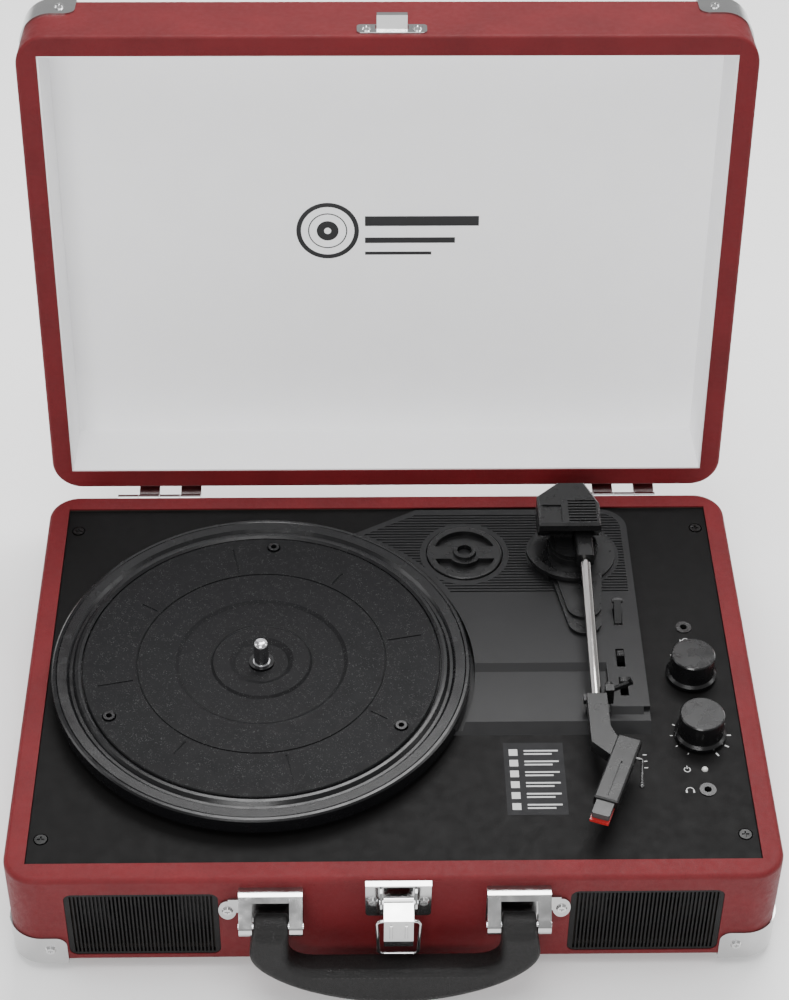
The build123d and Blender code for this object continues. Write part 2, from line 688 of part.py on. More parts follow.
with BuildPart() as pivot_pins:
    # hinge pins, handle pins and the latch lever's pin
    for centre in (-HINGE_X, HINGE_X):
        with BuildSketch(Plane.YZ.offset(centre - HINGE_W / 2)):
            with Locations((HINGE_Y, HINGE_Z)):
                Circle(PIN_R)
        extrude(amount=HINGE_W)
    for centre in (-HANDLE_X, HANDLE_X):
        with BuildSketch(Plane.YZ.offset(centre - 14.6)):
            with Locations((HANDLE_Y, HANDLE_Z)):
                Circle(1.55)
        extrude(amount=29.2)
    with BuildSketch(Plane.YZ.offset(LATCH_X - 8.6)):
        with Locations((LATCH_PIVOT_Y, LATCH_PIVOT_Z)):
            Circle(1.2)
    extrude(amount=17.2)
pivot_pins.part.label = "pivot_pins"
export_step(pivot_pins.part, "parts/pivot_pins.step")

# ================= turntable mechanism =================

PLATFORM_RIGHT = 122.5
PLATFORM_BACK = 110.0
ISLAND_X = 104.0
ARM_REST_Y = -28.5
CUE_X = 112.2
LIFT_ANGLE = -128.0
LIFT_R = 22.0
LIFT_STEM_X = PIVOT_X + LIFT_R * cos(radians(LIFT_ANGLE))
LIFT_STEM_Y = PIVOT_Y + LIFT_R * sin(radians(LIFT_ANGLE))

with BuildSketch() as upper_outline:
    Polygon(
        (14.5, PLATFORM_BACK), (-19.7, 91), (-40, 80), (-40, 0), (ISLAND_X, 0),
        (ISLAND_X, -29), (PLATFORM_RIGHT, -29), (PLATFORM_RIGHT, PLATFORM_BACK),
    )
    back_right = upper_outline.vertices().filter_by(lambda v: v.X > 120 and v.Y > 100)
    fillet(back_right, 14)
    with Locations((PLATTER_X, PLATTER_Y)):
        Circle(PLATTER_R + 2.2, mode=Mode.SUBTRACT)

with BuildSketch() as hollow_outline:
    offset(upper_outline.sketch, amount=-2.4)
    with Locations((PIVOT_X, PIVOT_Y)):
        Circle(25, mode=Mode.SUBTRACT)
    with Locations((ADAPTER_X, ADAPTER_Y)):
        Circle(22.5, mode=Mode.SUBTRACT)
    with Locations((ISLAND_X + 9, 20)):
        Rectangle(20, 120, mode=Mode.SUBTRACT)

with BuildSketch() as rib_outline:
    with Locations((50, 78.5)):
        with GridLocations(0, 2.0, 1, 30):
            Rectangle(150, 0.9)
    add(offset(upper_outline.sketch, amount=-3.2, mode=Mode.PRIVATE), mode=Mode.INTERSECT)
    with Locations((PIVOT_X, PIVOT_Y)):
        Circle(23.5, mode=Mode.SUBTRACT)
    with Locations((ADAPTER_X, ADAPTER_Y)):
        Circle(22.5, mode=Mode.SUBTRACT)

with BuildPart() as mechanism_chassis:
    # floor under the platter, with a bridge to the raised platform
    with BuildSketch(Plane.XY.offset(DECK_Z)):
        with Locations((PLATTER_X, PLATTER_Y)):
            Circle(95)
        with Locations((35, 20)):
            Rectangle(60, 60)
    extrude(amount=1.3)
    with BuildSketch(Plane.XY.offset(DECK_Z)):
        add(upper_outline.sketch)
    extrude(amount=UPPER_Z - DECK_Z)
    # the lower step in front, ending in a sloped lip
    with BuildSketch(Plane.YZ.offset(20)):
        Polygon((0, DECK_Z), (0, LOWER_Z), (-36, LOWER_Z), (-41, DECK_Z))
    extrude(amount=PLATFORM_RIGHT - 20)
    with BuildSketch(Plane.YZ.offset(20)):
        Polygon((0, LOWER_Z), (0, UPPER_Z), (-3.6, LOWER_Z))
    extrude(amount=ISLAND_X - 20)
    with BuildSketch(Plane.YZ.offset(ISLAND_X)):
        Polygon((-29, LOWER_Z), (-29, UPPER_Z), (-32, LOWER_Z))
    extrude(amount=PLATFORM_RIGHT - ISLAND_X - 3)
    with BuildSketch(Plane.XY.offset(DECK_Z + 1.3)):
        with Locations((PLATTER_X, PLATTER_Y)):
            Circle(PLATTER_R + 2.2)
    extrude(amount=10, mode=Mode.SUBTRACT)
    with BuildSketch(Plane.XY.offset(DECK_Z)):
        add(hollow_outline.sketch)
    extrude(amount=UPPER_Z - DECK_Z - 2, mode=Mode.SUBTRACT)
    with BuildSketch(Plane.XY.offset(UPPER_Z)):
        add(rib_outline.sketch)
    extrude(amount=-0.5, mode=Mode.SUBTRACT)
    # round well for the 45 rpm adapter, with its post
    with BuildSketch(Plane.XY.offset(UPPER_Z)):
        with Locations((ADAPTER_X, ADAPTER_Y)):
            Circle(ADAPTER_R + 0.5)
            Circle(3.4, mode=Mode.SUBTRACT)
    extrude(amount=-3.2, mode=Mode.SUBTRACT)
    # holes: spindle bush, motor pulley, tonearm shaft, cue lift stem, cue lever and switches
    with BuildSketch(Plane.XY.offset(DECK_Z)):
        with Locations((PLATTER_X, PLATTER_Y)):
            Circle(6.5)
        with Locations((PLATTER_X + PULLEY_X, PLATTER_Y + PULLEY_Y)):
            Circle(8)
        with Locations((PIVOT_X, PIVOT_Y)):
            Circle(5)
        with Locations((LIFT_STEM_X, LIFT_STEM_Y)):
            Circle(2.0 + RUNNING)
        with Locations((CUE_X, 31.1)):
            Rectangle(4.2, 11.4)
        with Locations((CUE_X - 1.0, 3), (CUE_X - 1.0, -16)):
            Rectangle(4, 12)
    extrude(amount=8, mode=Mode.SUBTRACT)
    with BuildSketch(Plane.YZ.offset(CUE_X - 4)):
        with Locations((30, 65.8)):
            Circle(1.0)
    extrude(amount=8, mode=Mode.SUBTRACT)
mechanism_chassis.part.label = "mechanism_chassis"
export_step(mechanism_chassis.part, "parts/mechanism_chassis.step")

with BuildPart() as platter:
    with BuildSketch(SPINDLE_SIDE):
        Polygon(
            (SHAFT_R + 0.02, 65.5), (14, 65.5), (14, 69.2), (BELT_RIM_R - 2.5, 69.2), (BELT_RIM_R - 2.5, 65.2),
            (BELT_RIM_R, 65.2), (BELT_RIM_R, 69.2), (PLATTER_R - 2.5, 69.2), (PLATTER_R - 2.5, 65.2),
            (PLATTER_R, 65.2), (PLATTER_R, 72.2), (PLATTER_R - 0.8, 72.9), (98.2, 73), (97.9, 72.6),
            (97.6, 73), (93.2, 72.8), (91.8, 71.4), (90.4, 71.4), (89.0, 73.2), (87.6, 73.3), (86.3, 72.4),
            (86.2, MAT_BOTTOM), (6, MAT_BOTTOM), (6, MAT_BOTTOM + 1.6), (SHAFT_R + 0.02, MAT_BOTTOM + 1.6),
        )
    revolve(axis=SPINDLE_AXIS)
    # three hollow bosses that come up through the mat
    with BuildSketch(SPINDLE.offset(MAT_BOTTOM)):
        with PolarLocations(79, 3, start_angle=-33):
            Circle(3.1)
    extrude(amount=2.7, taper=8)
    with BuildSketch(SPINDLE.offset(MAT_BOTTOM + 2.7)):
        with PolarLocations(79, 3, start_angle=-33):
            Circle(1.4)
    extrude(amount=-2.4, mode=Mode.SUBTRACT)
platter.part.label = "platter"
export_step(platter.part, "parts/platter.step")

with BuildPart() as platter_mat:
    with BuildSketch(SPINDLE_SIDE):
        Polygon(
            (6.2, MAT_BOTTOM), (6.2, 71.5), (12.6, 71.5), (15.4, MAT_TOP), (23.2, MAT_TOP), (24.4, 71.8),
            (39.6, 71.8), (41.4, MAT_TOP), (59.0, MAT_TOP), (59.2, 72.4), (59.8, 72.4), (60.0, MAT_TOP),
            (MAT_R - 0.5, MAT_TOP), (MAT_R, 72.4), (MAT_R, MAT_BOTTOM),
        )
    revolve(axis=SPINDLE_AXIS)
    with BuildSketch(SPINDLE.offset(MAT_BOTTOM)):
        with PolarLocations(79, 3, start_angle=-33):
            Circle(3.4)
    extrude(amount=3, mode=Mode.SUBTRACT)
    # eight radial marks, long and short by turns
    with BuildSketch(SPINDLE.offset(MAT_TOP)):
        with PolarLocations(70.5, 4, start_angle=12):
            Rectangle(17, 0.9)
        with PolarLocations(66.5, 4, start_angle=57):
            Rectangle(9, 0.9)
    extrude(amount=-0.4, mode=Mode.SUBTRACT)
platter_mat.part.label = "platter_mat"
export_step(platter_mat.part, "parts/platter_mat.step")

with BuildPart() as spindle:
    with BuildSketch(SPINDLE.offset(50)):
        Circle(SHAFT_R)
    extrude(amount=MAT_BOTTOM + 1.6 - 50)
    with BuildSketch(SPINDLE.offset(50)):
        Circle(SPINDLE_R)
    extrude(amount=36)
    fillet(spindle.edges().sort_by(Axis.Z)[-1], 2.6)
spindle.part.label = "spindle"
export_step(spindle.part, "parts/spindle.step")

with BuildPart() as spindle_bush:
    with BuildSketch(SPINDLE.offset(52)):
        Circle(6.4)
    extrude(amount=13)
    with BuildSketch(SPINDLE.offset(DECK_Z + 1.3)):
        Circle(9)
    extrude(amount=1.2)
    with BuildSketch(SPINDLE.offset(50)):
        Circle(SHAFT_R + RUNNING)
    extrude(amount=20, mode=Mode.SUBTRACT)
spindle_bush.part.label = "spindle_bush"
export_step(spindle_bush.part, "parts/spindle_bush.step")

BELT_CLEAR = 0.35
BELT_T = 0.8

with BuildPart() as drive_belt:
    for grow, mode in ((BELT_CLEAR + BELT_T, Mode.ADD), (BELT_CLEAR, Mode.SUBTRACT)):
        with BuildSketch(SPINDLE.offset(65.8)) as loop:
            Circle(BELT_RIM_R + grow)
            with Locations((PULLEY_X, PULLEY_Y)):
                Circle(PULLEY_R + grow)
            make_hull()
        extrude(amount=2.8, mode=mode)
drive_belt.part.label = "drive_belt"
export_step(drive_belt.part, "parts/drive_belt.step")

MOTOR = Plane((PLATTER_X + PULLEY_X, PLATTER_Y + PULLEY_Y, 0))

with BuildPart() as motor:
    with BuildSketch(MOTOR.offset(36)):
        Circle(15)
    extrude(amount=DECK_Z - 36)
    with BuildSketch(MOTOR.offset(DECK_Z)):
        Circle(4)
    extrude(amount=1.5)
    with BuildSketch(MOTOR.offset(50)):
        Circle(1.0 + RUNNING)
    extrude(amount=20, mode=Mode.SUBTRACT)
    with BuildSketch(MOTOR.offset(36)):
        Circle(4)
    extrude(amount=-2)
motor.part.label = "motor"
export_step(motor.part, "parts/motor.step")

with BuildPart() as motor_pulley:
    with BuildSketch(MOTOR.offset(50.3)):
        Circle(1.0)
    extrude(amount=15)
    with BuildSketch(MOTOR.offset(64.6)):
        Circle(PULLEY_R + 1)
    extrude(amount=0.8)
    with BuildSketch(MOTOR.offset(65.4)):
        Circle(PULLEY_R)
    extrude(amount=3.5)
motor_pulley.part.label = "motor_pulley"
export_step(motor_pulley.part, "parts/motor_pulley.step")

with BuildPart() as adapter_45:
    ADAPTER = Plane((ADAPTER_X, ADAPTER_Y, UPPER_Z - 3.2 + 0.1))
    with BuildSketch(ADAPTER):
        Circle(ADAPTER_R)
    extrude(amount=4.0)
    fillet(adapter_45.edges().sort_by(Axis.Z)[-1], 0.8)
    with BuildSketch(ADAPTER.offset(4.0)):
        Circle(15.6)
        Circle(8.4, mode=Mode.SUBTRACT)
        Rectangle(40, 9, mode=Mode.SUBTRACT)
    extrude(amount=-2.6, mode=Mode.SUBTRACT)
    with BuildSketch(ADAPTER.offset(4.0)):
        Circle(6)
    extrude(amount=1.6, taper=12)
    with BuildSketch(ADAPTER):
        Circle(SPINDLE_R + 0.1)
    extrude(amount=8, mode=Mode.SUBTRACT)
adapter_45.part.label = "adapter_45"
export_step(adapter_45.part, "parts/adapter_45.step")

# ================= tonearm =================

PIVOT = Plane((PIVOT_X, PIVOT_Y, 0))

with BuildPart() as tonearm_base:
    with BuildSketch(PIVOT.offset(UPPER_Z)):
        Circle(21.5)
    extrude(amount=1.4)
    with BuildSketch(PIVOT.offset(UPPER_Z)):
        Circle(15)
        with Locations((2.5, -50)):
            Circle(8.2)
        make_hull()
    extrude(amount=2.0)
    with BuildSketch(PIVOT.offset(UPPER_Z)):
        Circle(13)
        with Locations((2.8, -40)):
            Circle(8.6)
        make_hull()
    extrude(amount=3.4)
    with BuildSketch(PIVOT.offset(UPPER_Z)):
        Circle(12.5)
    extrude(amount=7.0)
    with BuildSketch(PIVOT.offset(60)):
        Circle(4.0 + RUNNING)
        with Locations((LIFT_STEM_X - PIVOT_X, LIFT_STEM_Y - PIVOT_Y)):
            Circle(2.6)
    extrude(amount=20, mode=Mode.SUBTRACT)
tonearm_base.part.label = "tonearm_base"
export_step(tonearm_base.part, "parts/tonearm_base.step")

BLOCK_TOP = 93.0

with BuildPart() as tonearm_turret:
    with BuildSketch(PIVOT.offset(60.5)):
        Circle(4.0)
    extrude(amount=15)
    with BuildSketch(PIVOT.offset(UPPER_Z + 7.3)):
        Circle(11.5)
    extrude(amount=1.8)
    with BuildSketch(Plane.XY.offset(UPPER_Z + 9.1)):
        with Locations((88.2, 79)):
            Rectangle(8.6, 18)
    extrude(amount=4)
    # the hooded block on top, with cut back corners
    with BuildSketch(Plane.XY.offset(79.5)):
        Polygon((75.2, 71.5), (106, 71.5), (106.3, 88), (99.8, 103.5), (86, 103.5), (75, 93.3))
    extrude(amount=BLOCK_TOP - 79.5)
    chamfer(tonearm_turret.faces().sort_by(Axis.Z)[-1].edges(), 1.2)
    # underside sloped back from a narrow front face
    with BuildSketch(Plane.YZ.offset(70)):
        Polygon((70, 79), (70, 88.4), (71.5, 88.4), (77.6, 80.2), (77.6, 79))
    extrude(amount=40, mode=Mode.SUBTRACT)
    # slot for the arm's root
    with BuildSketch(Plane.XY.offset(UPPER_Z + 9.1)):
        with Locations((97.6, 79.5)):
            Rectangle(9.6, 18)
    extrude(amount=88.2 - UPPER_Z - 9.1, mode=Mode.SUBTRACT)
    # louvres on the right half and a shallow panel on the left half of the top
    with BuildSketch(Plane.XY.offset(BLOCK_TOP)):
        with Locations((97.2, 81.5)):
            with GridLocations(0, 2.1, 1, 8):
                Rectangle(14, 1.0)
        with Locations((82, 80)):
            Rectangle(9.5, 12)
    extrude(amount=-0.8, mode=Mode.SUBTRACT)
    # pin that the arm's root tilts on
    with BuildSketch(Plane.YZ.offset(90)):
        with Locations((80, TILT_Z)):
            Circle(1.25)
    extrude(amount=15)
tonearm_turret.part.label = "tonearm_turret"
export_step(tonearm_turret.part, "parts/tonearm_turret.step")

TUBE_START = Vector(97.6, 62.0, 81.6)
TUBE_END = Vector(96.1, -38.0, 77.0)
TUBE = Plane(TUBE_START, z_dir=TUBE_END - TUBE_START)
TUBE_R = 2.6

with BuildPart() as arm_root:
    with BuildSketch(Plane.XY.offset(78.4)):
        with Locations((97.6, 71.0)):
            Rectangle(8.6, 28)
    extrude(amount=7.2)
    fillet(arm_root.edges().filter_by(Axis.Y), 1.4)
    with BuildSketch(Plane.YZ.offset(90)):
        with Locations((80, TILT_Z)):
            Circle(1.25 + RUNNING)
    extrude(amount=15, mode=Mode.SUBTRACT)
    with BuildSketch(TUBE.offset(-4)):
        Circle(TUBE_R)
    extrude(amount=20, mode=Mode.SUBTRACT)
arm_root.part.label = "arm_root"
export_step(arm_root.part, "parts/arm_root.step")

with BuildPart() as arm_tube:
    with BuildSketch(TUBE.offset(-4)):
        Circle(TUBE_R)
        Circle(TUBE_R - 0.6, mode=Mode.SUBTRACT)
    extrude(amount=(TUBE_END - TUBE_START).length + 4)
arm_tube.part.label = "arm_tube"
export_step(arm_tube.part, "parts/arm_tube.step")

# ---- headshell frame: x along the shell to its front, y to the right of it ----
HEAD_START = (109.2, -60.3)
HEAD = Plane(
    (HEAD_START[0], HEAD_START[1], 0),
    (-sin(radians(HEAD_ANGLE)), -cos(radians(HEAD_ANGLE)), 0),
    (0, 0, 1),
)

with BuildPart() as headshell:
    with BuildSketch(HEAD.offset(75.6)):
        with Locations((HEAD_LENGTH / 2, 0)):
            Rectangle(HEAD_LENGTH, HEAD_W)
    extrude(amount=5.6)
    chamfer(headshell.faces().sort_by(Axis.Z)[-1].edges(), 0.7)
    # hollow underside of the shell, and the long slot in its top
    with BuildSketch(HEAD.offset(75.6)):
        with Locations((HEAD_LENGTH / 2 + 3.4, 0)):
            Rectangle(HEAD_LENGTH - 4, HEAD_W - 2.4)
    extrude(amount=4.2, mode=Mode.SUBTRACT)
    with BuildSketch(HEAD.offset(90)):
        with Locations((HEAD_LENGTH - 13, 0.6)):
            Rectangle(22, 0.9)
    extrude(amount=-9.4, mode=Mode.SUBTRACT)
    # elbow that joins the shell to the arm's tube
    with BuildSketch(Plane.XY.offset(74.4)):
        Polygon(
            (91.5, -32), (100.8, -32), (100.9, -52.5), (102.9, -58), (106, -63), (99.5, -70.7), (91.4, -62.3)
        )
    extrude(amount=6.1)
    with BuildSketch(TUBE.offset(80)):
        Circle(TUBE_R)
    extrude(amount=(TUBE_END - TUBE_START).length - 80, mode=Mode.SUBTRACT)
headshell.part.label = "headshell"
export_step(headshell.part, "parts/headshell.step")

with BuildPart() as cartridge:
    with BuildSketch(HEAD.offset(76.6)):
        with Locations((41.5, 0)):
            Rectangle(14, 8.2)
    extrude(amount=3.2)
    chamfer(cartridge.edges().filter_by(Axis.Z), 0.6)
cartridge.part.label = "cartridge"
export_step(cartridge.part, "parts/cartridge.step")

with BuildPart() as stylus:
    with BuildSketch(HEAD.offset(75.3)):
        with Locations((45.1, 0)):
            Rectangle(10.0, 8.8)
    extrude(amount=1.3)
    with BuildSketch(HEAD.offset(75.3)):
        with Locations((48, 0)):
            Circle(0.8)
    extrude(amount=-0.9, taper=30)
stylus.part.label = "stylus"
export_step(stylus.part, "parts/stylus.step")

with BuildPart() as finger_lift:
    root = HEAD.offset(78).from_local_coords((9.0, HEAD_W / 2, 0))
    bend = HEAD.offset(78).from_local_coords((9.0, HEAD_W / 2 + 3.0, 0))
    with BuildLine() as lift_path:
        FilletPolyline(root, bend, (112.2, -88.0, 78.6), radius=1.2)
    with BuildSketch(Plane(lift_path.wire() @ 0, z_dir=lift_path.wire() % 0)):
        Circle(0.7)
    sweep(path=lift_path.wire())
    with Locations(lift_path.wire() @ 1):
        Sphere(1.2)
finger_lift.part.label = "finger_lift"
export_step(finger_lift.part, "parts/finger_lift.step")

with BuildPart() as arm_rest:
    with BuildSketch(Plane.XY.offset(LOWER_Z)):
        with Locations((97.5, ARM_REST_Y)):
            RectangleRounded(11, 8, 1.5)
    extrude(amount=2)
    with BuildSketch(Plane.XY.offset(LOWER_Z)):
        with Locations((97.5, ARM_REST_Y)):
            Rectangle(5, 4)
    extrude(amount=6)
    with BuildSketch(Plane.XZ.offset(-ARM_REST_Y - 2)):
        Polygon(
            (90.6, 71.2), (104.6, 71.2), (104.6, 80.6), (100.6, 80.6), (100.4, 75.4), (98.6, 74.0), (90.6, 74.0)
        )
    extrude(amount=4)
    with BuildSketch(Plane.XZ.offset(-ARM_REST_Y - 3)):
        with Locations((102.6, 78.4)):
            Circle(1.0)
    extrude(amount=6, mode=Mode.SUBTRACT)
arm_rest.part.label = "arm_rest"
export_step(arm_rest.part, "parts/arm_rest.step")

CLIP_PIVOT = (102.6, ARM_REST_Y + 4, 78.4)
CLIP_TURN = 150
clip_side = (cos(radians(-CLIP_TURN)), 0, sin(radians(-CLIP_TURN)))

with BuildPart() as arm_clip:
    # drawn as if closed over the tube, on a plane turned back to the open side
    with BuildSketch(Plane(CLIP_PIVOT, clip_side, (0, -1, 0))):
        Circle(1.9)
        Polygon(
            (1.2, 1.4), (-1.6, 2.3), (-9.2, 2.3), (-9.6, 0.2),
            (-10.8, 0.2), (-10.6, 4.2), (0.4, 4.2), (1.8, 1.0),
        )
    extrude(amount=1.7)
    with BuildSketch(Plane(CLIP_PIVOT, clip_side, (0, -1, 0))):
        Circle(1.0 - RUNNING)
    extrude(amount=5)
arm_clip.part.label = "arm_clip"
export_step(arm_clip.part, "parts/arm_clip.step")

with BuildPart() as cue_lever:
    with BuildSketch(Plane.YZ.offset(CUE_X - 1.7)):
        with Locations((30, 65.8)):
            Circle(3.4)
        with Locations((37.2, 73.0)):
            Circle(1.7)
        make_hull()
    extrude(amount=3.4)
    with BuildSketch(Plane.YZ.offset(CUE_X - 3.4)):
        with Locations((30, 65.8)):
            Circle(1.0 - RUNNING)
    extrude(amount=6.8)
    with BuildSketch(Plane.YZ.offset(CUE_X - 2.6)):
        with Locations((37.2, 73.0)):
            Circle(1.3)
    extrude(amount=5.2)
cue_lever.part.label = "cue_lever"
export_step(cue_lever.part, "parts/cue_lever.step")

with BuildPart() as cue_lift:
    with BuildSketch(PIVOT.offset(72.0)):
        with BuildLine():
            CenterArc((0, 0), LIFT_R - 2, -172, 88)
            CenterArc((0, 0), LIFT_R + 2, -172, 88)
            Line(Vector(LIFT_R - 2, 0).rotate(Axis.Z, -172), Vector(LIFT_R + 2, 0).rotate(Axis.Z, -172))
            Line(Vector(LIFT_R - 2, 0).rotate(Axis.Z, -84), Vector(LIFT_R + 2, 0).rotate(Axis.Z, -84))
        make_face()
    extrude(amount=2.2)
    with BuildSketch(Plane.XY.offset(56)):
        with Locations((LIFT_STEM_X, LIFT_STEM_Y)):
            Circle(2.0)
    extrude(amount=17)
cue_lift.part.label = "cue_lift"
export_step(cue_lift.part, "parts/cue_lift.step")

# ================= controls =================

for name, y, nub in (("auto_stop_switch", 4.5, 3.6), ("speed_switch", -13.0, 3.6)):
    with BuildPart() as slider:
        with BuildSketch(Plane.XY.offset(UPPER_Z - 3)):
            with Locations((CUE_X - 1.0, y)):
                Rectangle(3.4, nub)
        extrude(amount=5)
        chamfer(slider.faces().sort_by(Axis.Z)[-1].edges(), 0.4)
    slider.part.label = name
    export_step(slider.part, "parts/" + name + ".step")

for name, y in (("mode_knob", MODE_Y), ("volume_knob", VOLUME_Y)):
    with BuildPart() as knob:
        side = Plane((CONTROL_X, y, 0), (1, 0, 0), (0, -1, 0))
        with BuildSketch(side):
            Polygon(
                (0, 64.5), (9.2, 64.5), (9.2, 62.4), (11.6, 62.4), (12.2, 63.0), (12.2, 64.4), (11.0, 65.6),
                (10.8, 67.0), (10.5, 76.0), (10.0, 76.6), (0, 76.6),
            )
        revolve(axis=Axis((CONTROL_X, y, 0), (0, 0, 1)))
        with BuildSketch(Plane((CONTROL_X, y, 54))):
            Circle(3.0)
        extrude(amount=11)
    knob.part.label = name
    export_step(knob.part, "parts/" + name + ".step")

with BuildPart() as control_board:
    with BuildSketch(Plane.XY.offset(42)):
        with Locations((CONTROL_X, -22)):
            Rectangle(28, 126)
    extrude(amount=1.6)
control_board.part.label = "control_board"
export_step(control_board.part, "parts/control_board.step")

with BuildPart() as rotary_controls:
    for y in (MODE_Y, VOLUME_Y):
        with BuildSketch(Plane((CONTROL_X, y, 43.6))):
            RectangleRounded(16, 16, 2)
        extrude(amount=9)
        with BuildSketch(Plane((CONTROL_X, y, 52.6))):
            Circle(4.4)
        extrude(amount=9.3)
        with BuildSketch(Plane((CONTROL_X, y, 53.6))):
            Circle(3.0 + RUNNING)
        extrude(amount=10, mode=Mode.SUBTRACT)
rotary_controls.part.label = "rotary_controls"
export_step(rotary_controls.part, "parts/rotary_controls.step")

with BuildPart() as audio_jacks:
    for y in (LINE_IN_Y, PHONES_Y):
        with BuildSketch(Plane((CONTROL_X, y, 43.6))):
            Rectangle(9, 12)
        extrude(amount=UNDER_DECK_Z - 43.6)
        with BuildSketch(Plane((CONTROL_X, y, UNDER_DECK_Z))):
            Circle(3.9)
        extrude(amount=DECK_T + 0.5)
        with BuildSketch(Plane((CONTROL_X, y, DECK_Z + 0.5))):
            Circle(1.75)
        extrude(amount=-14, mode=Mode.SUBTRACT)
audio_jacks.part.label = "audio_jacks"
export_step(audio_jacks.part, "parts/audio_jacks.step")

with BuildPart() as power_led:
    with BuildSketch(Plane((CONTROL_X, LED_Y, 57))):
        Circle(1.5)
    extrude(amount=DECK_Z + 1.2 - 57)
    fillet(power_led.edges().sort_by(Axis.Z)[-1], 1.2)
    with BuildSketch(Plane((CONTROL_X, LED_Y, 43.6))):
        Circle(1.9)
    extrude(amount=UNDER_DECK_Z - 43.6)
power_led.part.label = "power_led"
export_step(power_led.part, "parts/power_led.step")

with BuildPart() as rear_jack_panel:
    with BuildSketch(BACK.offset(-0.2)):
        with Locations((-JACK_PANEL_X, JACK_PANEL_Z)):
            RectangleRounded(73.6, 23.6, 2.8)
        with Locations((-JACK_PANEL_X - 22, JACK_PANEL_Z), (-JACK_PANEL_X - 4, JACK_PANEL_Z)):
            Circle(3.45, mode=Mode.SUBTRACT)
        with Locations((-JACK_PANEL_X + 20, JACK_PANEL_Z)):
            Circle(5.2, mode=Mode.SUBTRACT)
    extrude(amount=-1.6)
rear_jack_panel.part.label = "rear_jack_panel"
export_step(rear_jack_panel.part, "parts/rear_jack_panel.step")

with BuildPart() as rear_jacks:
    # two phono outputs, then the power inlet
    with BuildSketch(BACK.offset(-14)):
        with Locations((-JACK_PANEL_X - 22, JACK_PANEL_Z), (-JACK_PANEL_X - 4, JACK_PANEL_Z)):
            Circle(3.4)
    extrude(amount=14.1)
    with BuildSketch(BACK):
        with Locations((-JACK_PANEL_X - 22, JACK_PANEL_Z), (-JACK_PANEL_X - 4, JACK_PANEL_Z)):
            Circle(4.15)
    extrude(amount=8.3)
    with BuildSketch(BACK.offset(-14)):
        with Locations((-JACK_PANEL_X + 20, JACK_PANEL_Z)):
            Circle(5.15)
    extrude(amount=14 + 0.8)
    with BuildSketch(BACK.offset(8.3)):
        with Locations((-JACK_PANEL_X - 22, JACK_PANEL_Z), (-JACK_PANEL_X - 4, JACK_PANEL_Z)):
            Circle(1.65)
    extrude(amount=-13, mode=Mode.SUBTRACT)
    with BuildSketch(BACK.offset(0.8)):
        with Locations((-JACK_PANEL_X + 20, JACK_PANEL_Z)):
            Circle(2.75)
            Circle(1.0, mode=Mode.SUBTRACT)
    extrude(amount=-9, mode=Mode.SUBTRACT)
rear_jacks.part.label = "rear_jacks"
export_step(rear_jacks.part, "parts/rear_jacks.step")
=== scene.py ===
from math import cos, radians, sin

import bmesh
import bpy
from mathutils import Matrix, Vector


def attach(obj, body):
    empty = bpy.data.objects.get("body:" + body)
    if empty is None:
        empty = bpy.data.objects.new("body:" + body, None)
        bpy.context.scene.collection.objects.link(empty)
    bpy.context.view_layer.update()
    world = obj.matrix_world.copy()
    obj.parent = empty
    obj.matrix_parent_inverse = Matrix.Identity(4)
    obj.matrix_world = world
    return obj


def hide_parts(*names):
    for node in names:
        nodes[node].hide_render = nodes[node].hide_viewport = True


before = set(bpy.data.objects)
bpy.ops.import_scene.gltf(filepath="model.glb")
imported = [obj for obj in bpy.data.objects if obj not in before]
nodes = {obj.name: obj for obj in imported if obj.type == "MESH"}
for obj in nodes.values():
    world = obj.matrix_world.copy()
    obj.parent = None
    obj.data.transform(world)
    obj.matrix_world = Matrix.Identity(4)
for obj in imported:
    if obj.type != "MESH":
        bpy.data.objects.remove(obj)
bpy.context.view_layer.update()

MM = 0.001


# ---------------- camera ----------------

CAMERA_PLACE = Vector((-17.45, -788.36, 883.66)) * MM
PITCH = radians(41.98)
YAW = radians(1.34)
ROLL = radians(0.60)
LENS_MM = 84.5

ahead = Vector((sin(YAW) * cos(PITCH), cos(YAW) * cos(PITCH), -sin(PITCH)))
level = Vector((cos(YAW), -sin(YAW), 0))
upright = level.cross(ahead)
right = level * cos(ROLL) + upright * sin(ROLL)
up = upright * cos(ROLL) - level * sin(ROLL)

camera_data = bpy.data.cameras.new("camera")
camera_data.lens = LENS_MM
camera_data.sensor_width = 36
camera_data.sensor_fit = "AUTO"
camera = bpy.data.objects.new("camera", camera_data)
bpy.context.scene.collection.objects.link(camera)
turn = Matrix((right, up, -ahead)).transposed()
camera.matrix_world = Matrix.Translation(CAMERA_PLACE) @ turn.to_4x4()
bpy.context.scene.camera = camera


# ---------------- studio ----------------

def area_light(name, place, aim, size, watts, tint=(1, 1, 1)):
    data = bpy.data.lights.new(name, "AREA")
    data.shape = "RECTANGLE"
    data.size, data.size_y = size
    data.energy = watts
    data.color = tint
    lamp = bpy.data.objects.new(name, data)
    bpy.context.scene.collection.objects.link(lamp)
    lamp.location = place
    lamp.rotation_euler = (Vector(aim) - Vector(place)).to_track_quat("-Z", "Y").to_euler()
    return lamp


area_light("key", (0.25, 0.75, 1.5), (0, 0.0, 0.05), (1.1, 0.6), 30)
area_light("overhead", (-0.1, -0.1, 1.7), (0, 0.0, 0.05), (1.2, 0.9), 16)
area_light("front_fill", (-0.3, -1.7, 1.2), (0, 0.05, 0.2), (0.9, 0.5), 26)
area_light("left_fill", (-1.5, 0.1, 0.7), (0, 0, 0.1), (0.6, 0.8), 5)
area_light("right_fill", (1.5, 0.1, 0.8), (0, 0, 0.1), (0.6, 0.8), 5)

